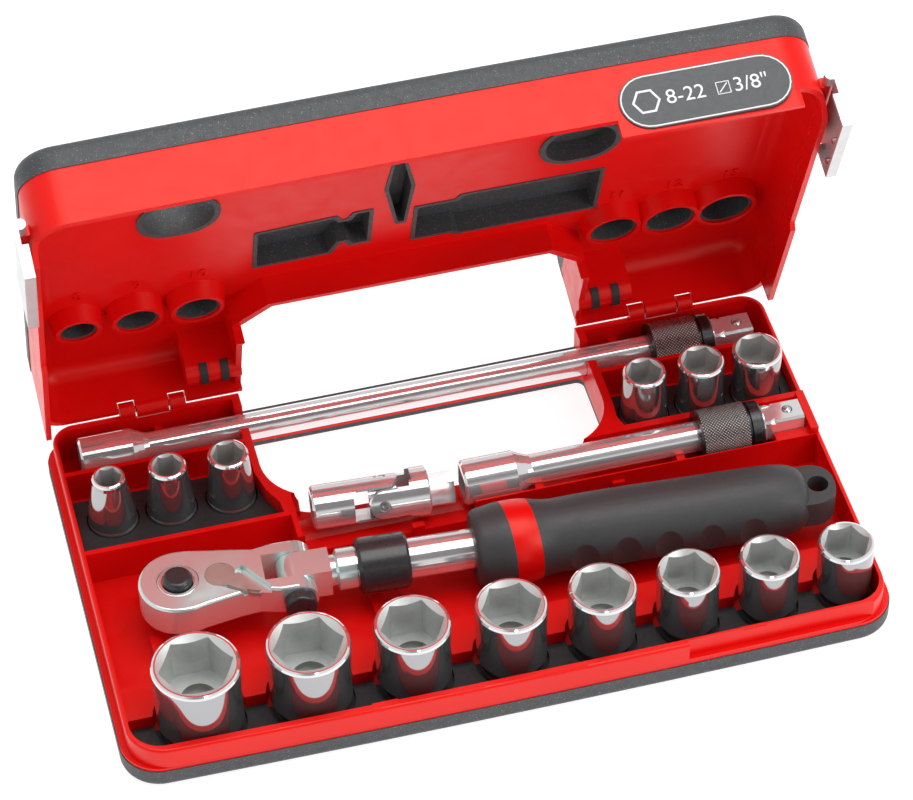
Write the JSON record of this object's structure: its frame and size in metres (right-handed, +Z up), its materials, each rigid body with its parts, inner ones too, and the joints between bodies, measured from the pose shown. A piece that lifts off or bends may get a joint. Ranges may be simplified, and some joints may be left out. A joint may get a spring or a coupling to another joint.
{
  "type": "socket wrench set in case",
  "caption": "Two-colour hinged tool case with a handle gap, holding hexagon sockets, extension bars, a universal joint and a flex-head ratchet.",
  "frame": {"origin": "middle of the case's flat underside", "axes": "+Z up, +X to the right along the long side, front of the case (socket row) at -Y, lid hinged at +Y"},
  "size_m": [0.279, 0.1847, 0.1766],
  "materials": {
    "dark_cover": "fine grain, satin",
    "red_plastic": "glossy moulded",
    "pad": "matt",
    "steel_pin": "brushed",
    "chrome": "polished",
    "knurled": "knurled, dark",
    "black_plastic": "satin",
    "grip_rubber": "soft satin",
    "label_grey": "satin",
    "latch_metal": "satin",
    "lever_steel": "satin",
    "band_rubber": "matt"
  },
  "bodies": {
    "case": {"base_cover": "dark_cover", "base_tray": "red_plastic", "pad_front": "pad", "pad_left": "pad", "pad_right": "pad", "hinge_pins": "steel_pin"},
    "lid": {"lid_liner": "red_plastic", "lid_cover": "dark_cover", "lid_bands": "band_rubber", "label_plate": "label_grey", "latch_axles": "steel_pin"},
    "latch_left": {"latch_left": "latch_metal", "latch_rods_left": "steel_pin"},
    "latch_right": {"latch_right": "latch_metal", "latch_rods_right": "steel_pin"},
    "socket_22": {"socket_22": "chrome"},
    "socket_21": {"socket_21": "chrome"},
    "socket_19": {"socket_19": "chrome"},
    "socket_18": {"socket_18": "chrome"},
    "socket_17": {"socket_17": "chrome"},
    "socket_16": {"socket_16": "chrome"},
    "socket_15": {"socket_15": "chrome"},
    "socket_14": {"socket_14": "chrome"},
    "socket_08": {"socket_08": "chrome"},
    "socket_09": {"socket_09": "chrome"},
    "socket_10": {"socket_10": "chrome"},
    "socket_11": {"socket_11": "chrome"},
    "socket_12": {"socket_12": "chrome"},
    "socket_13": {"socket_13": "chrome"},
    "extension_long": {"extension_long": "chrome"},
    "extension_long_sleeve": {"extension_long_sleeve": "knurled"},
    "extension_long_ball": {"extension_long_ball": "steel_pin"},
    "extension_short": {"extension_short": "chrome"},
    "extension_short_sleeve": {"extension_short_sleeve": "knurled"},
    "extension_short_ball": {"extension_short_ball": "steel_pin"},
    "joint_female": {"joint_female": "chrome"},
    "joint_cross": {"joint_cross": "chrome", "joint_pin": "steel_pin", "joint_stub_pins": "steel_pin"},
    "joint_male": {"joint_male": "chrome"},
    "ratchet_grip": {"ratchet_grip": "grip_rubber", "ratchet_band": "red_plastic"},
    "ratchet_shank": {"ratchet_tube": "chrome", "ratchet_collar": "black_plastic", "ratchet_tongue": "chrome"},
    "ratchet_head": {"ratchet_head": "chrome", "ratchet_button_ring": "chrome", "ratchet_flex_pin": "steel_pin", "ratchet_flex_knob": "black_plastic"},
    "ratchet_lever": {"ratchet_lever": "lever_steel"},
    "ratchet_button": {"ratchet_button": "black_plastic"},
    "ratchet_drive": {"ratchet_drive": "chrome"},
    "ratchet_ball": {"ratchet_ball": "steel_pin"}
  },
  "joints": [
    {"name": "lid_hinge", "type": "hinge", "parent": "case", "child": "lid", "pos_m": [0, 0.0789, 0.0192], "axis": [1, 0, 0], "range_deg": [-25, 70]},
    {"name": "latch_left_hinge", "type": "hinge", "parent": "lid", "child": "latch_left", "pos_m": [-0.1372, 0.0365, 0.14679], "axis": [0, 0.342, -0.9397], "range_deg": [0, 75]},
    {"name": "latch_right_hinge", "type": "hinge", "parent": "lid", "child": "latch_right", "pos_m": [0.1372, 0.0365, 0.14679], "axis": [0, -0.342, 0.9397], "range_deg": [0, 75]},
    {"name": "socket_22_lift", "type": "slide", "parent": "case", "child": "socket_22", "axis": [0, 0, -1], "range_m": [-0.045, 0]},
    {"name": "socket_21_lift", "type": "slide", "parent": "case", "child": "socket_21", "axis": [0, 0, -1], "range_m": [-0.045, 0]},
    {"name": "socket_19_lift", "type": "slide", "parent": "case", "child": "socket_19", "axis": [0, 0, -1], "range_m": [-0.045, 0]},
    {"name": "socket_18_lift", "type": "slide", "parent": "case", "child": "socket_18", "axis": [0, 0, -1], "range_m": [-0.045, 0]},
    {"name": "socket_17_lift", "type": "slide", "parent": "case", "child": "socket_17", "axis": [0, 0, -1], "range_m": [-0.045, 0]},
    {"name": "socket_16_lift", "type": "slide", "parent": "case", "child": "socket_16", "axis": [0, 0, -1], "range_m": [-0.045, 0]},
    {"name": "socket_15_lift", "type": "slide", "parent": "case", "child": "socket_15", "axis": [0, 0, -1], "range_m": [-0.045, 0]},
    {"name": "socket_14_lift", "type": "slide", "parent": "case", "child": "socket_14", "axis": [0, 0, -1], "range_m": [-0.045, 0]},
    {"name": "socket_08_lift", "type": "slide", "parent": "case", "child": "socket_08", "axis": [0, 0, -1], "range_m": [-0.035, 0]},
    {"name": "socket_09_lift", "type": "slide", "parent": "case", "child": "socket_09", "axis": [0, 0, -1], "range_m": [-0.035, 0]},
    {"name": "socket_10_lift", "type": "slide", "parent": "case", "child": "socket_10", "axis": [0, 0, -1], "range_m": [-0.035, 0]},
    {"name": "socket_11_lift", "type": "slide", "parent": "case", "child": "socket_11", "axis": [0, 0, -1], "range_m": [-0.035, 0]},
    {"name": "socket_12_lift", "type": "slide", "parent": "case", "child": "socket_12", "axis": [0, 0, -1], "range_m": [-0.035, 0]},
    {"name": "socket_13_lift", "type": "slide", "parent": "case", "child": "socket_13", "axis": [0, 0, -1], "range_m": [-0.035, 0]},
    {"name": "extension_long_lift", "type": "slide", "parent": "case", "child": "extension_long", "axis": [0, 0, -1], "range_m": [-0.014, 0]},
    {"name": "extension_long_sleeve_pull", "type": "slide", "parent": "extension_long", "child": "extension_long_sleeve", "axis": [-1, 0, 0], "range_m": [0, 0.0015], "stiffness_N_per_m": 600, "springref_m": -0.002},
    {"name": "extension_long_ball_press", "type": "slide", "parent": "extension_long", "child": "extension_long_ball", "axis": [0, 0, -1], "range_m": [0, 0.0008], "stiffness_N_per_m": 500, "springref_m": -0.001},
    {"name": "extension_short_lift", "type": "slide", "parent": "case", "child": "extension_short", "axis": [0, 0, -1], "range_m": [-0.04, 0]},
    {"name": "extension_short_sleeve_pull", "type": "slide", "parent": "extension_short", "child": "extension_short_sleeve", "axis": [-1, 0, 0], "range_m": [0, 0.0015], "stiffness_N_per_m": 600, "springref_m": -0.002},
    {"name": "extension_short_ball_press", "type": "slide", "parent": "extension_short", "child": "extension_short_ball", "axis": [0, 0, -1], "range_m": [0, 0.0008], "stiffness_N_per_m": 500, "springref_m": -0.001},
    {"name": "universal_joint_lift", "type": "slide", "parent": "case", "child": "joint_female", "axis": [0, 0, -1], "range_m": [-0.04, 0]},
    {"name": "universal_joint_yaw", "type": "hinge", "parent": "joint_female", "child": "joint_cross", "pos_m": [-0.02554, 0.01456, 0.0182], "axis": [0.0243, 0.4219, 0.9063], "range_deg": [-6, 0]},
    {"name": "universal_joint_pitch", "type": "hinge", "parent": "joint_cross", "child": "joint_male", "pos_m": [-0.02554, 0.01456, 0.0182], "axis": [0.0522, 0.9048, -0.4226], "range_deg": [-30, 0]},
    {"name": "ratchet_lift", "type": "slide", "parent": "case", "child": "ratchet_grip", "axis": [0, 0, -1], "range_m": [-0.05, 0]},
    {"name": "ratchet_telescope", "type": "slide", "parent": "ratchet_grip", "child": "ratchet_shank", "axis": [-0.9983, 0.0576, 0], "range_m": [0, 0.011]},
    {"name": "ratchet_flex", "type": "hinge", "parent": "ratchet_shank", "child": "ratchet_head", "pos_m": [-0.06297, -0.01383, 0.0185], "axis": [-0.0576, -0.9983, 0], "range_deg": [-85, 0]},
    {"name": "ratchet_reverse", "type": "hinge", "parent": "ratchet_head", "child": "ratchet_lever", "pos_m": [-0.08882, -0.01234, 0.0246], "axis": [0, 0, 1], "range_deg": [0, 10]},
    {"name": "ratchet_release", "type": "slide", "parent": "ratchet_head", "child": "ratchet_button", "axis": [0, 0, -1], "range_m": [0, 0.002], "stiffness_N_per_m": 400, "springref_m": -0.001},
    {"name": "ratchet_drive_turn", "type": "hinge", "parent": "ratchet_head", "child": "ratchet_drive", "pos_m": [-0.1034, -0.0115, 0.008], "axis": [0, 0, 1], "continuous": true},
    {"name": "ratchet_ball_press", "type": "slide", "parent": "ratchet_drive", "child": "ratchet_ball", "axis": [-0.9983, 0.0576, 0], "range_m": [0, 0.0008], "stiffness_N_per_m": 500, "springref_m": -0.001}
  ]
}
